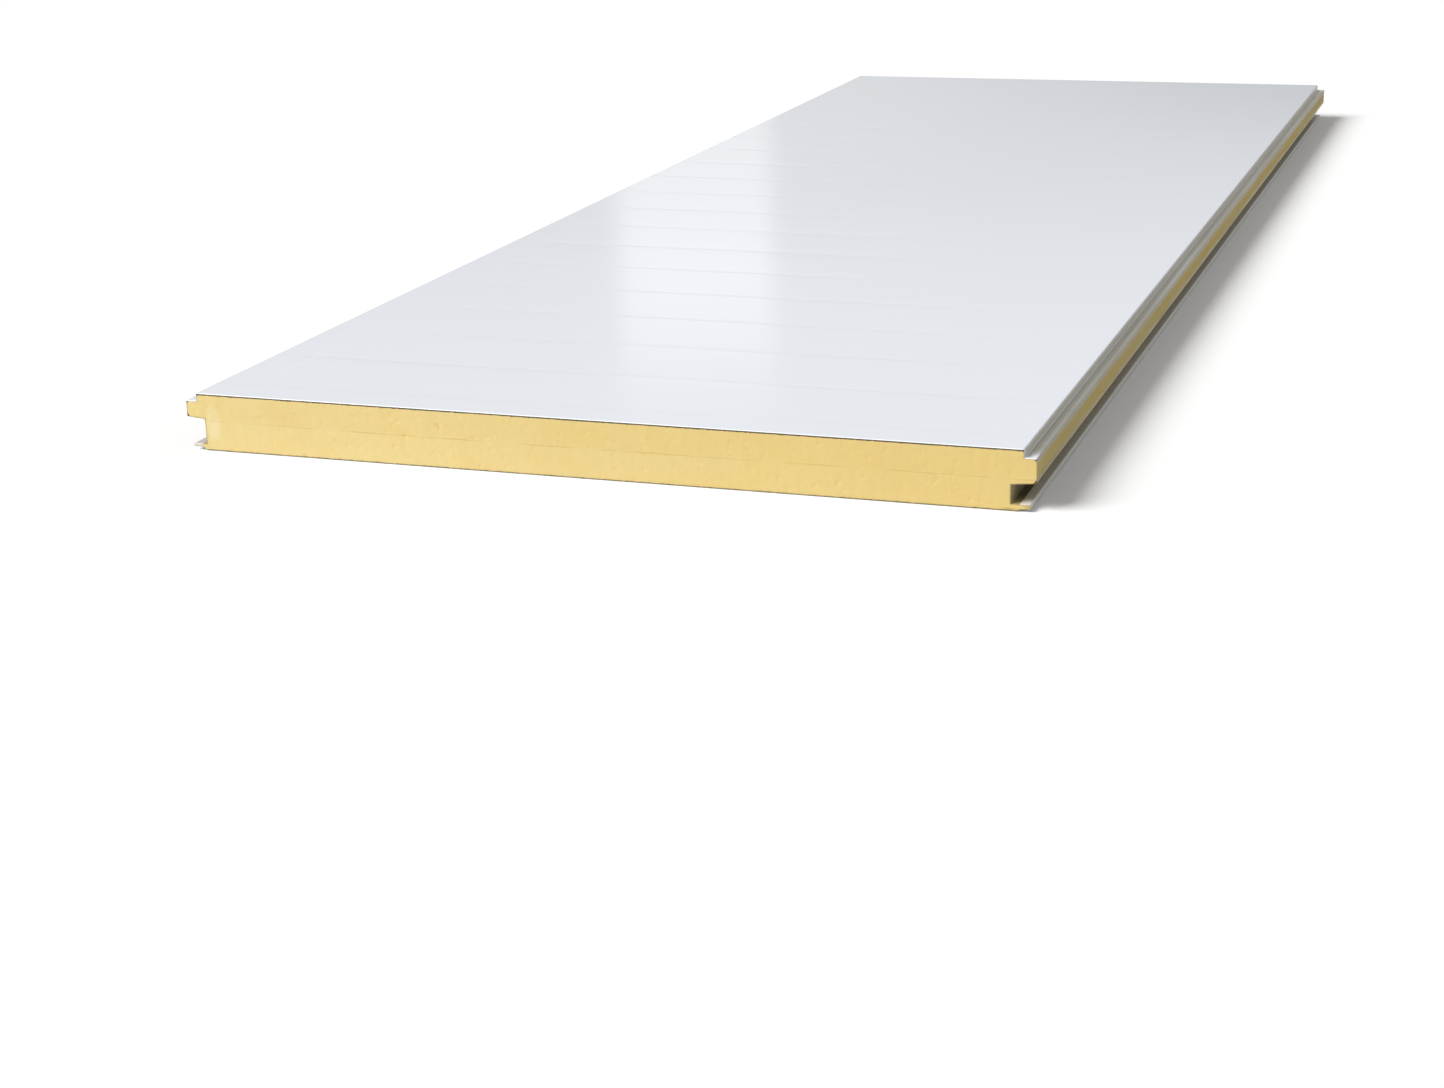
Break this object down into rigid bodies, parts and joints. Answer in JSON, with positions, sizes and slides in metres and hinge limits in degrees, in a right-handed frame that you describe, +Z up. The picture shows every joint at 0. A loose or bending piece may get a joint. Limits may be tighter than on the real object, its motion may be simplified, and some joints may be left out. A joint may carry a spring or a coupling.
{
  "type": "insulated sandwich panel",
  "caption": "Flat wall panel of two steel facings on a rigid foam core, with stepped long edges: a tongue, a groove and a rolled lip on each side.",
  "frame": {"origin": "centre of the underside, where the inner facing rests", "axes": "+X across the panel towards the edge with the deep groove, +Y along its length away from the viewer, +Z up through the thickness, out of the outer facing"},
  "size_m": [1.172, 3.3, 0.08],
  "materials": {
    "outer_steel": "smooth grey-white coil coating, satin gloss",
    "inner_steel": "smooth grey-white coil coating, satin",
    "foam": "pale yellow rigid foam, sawn at the ends",
    "edge_strip": "dull grey foil strip"
  },
  "bodies": {
    "root": {"outer_facing": "outer_steel", "inner_facing": "inner_steel", "foam_core": "foam", "right_edge_liner": "edge_strip", "left_edge_liner": "edge_strip"}
  },
  "joints": []
}
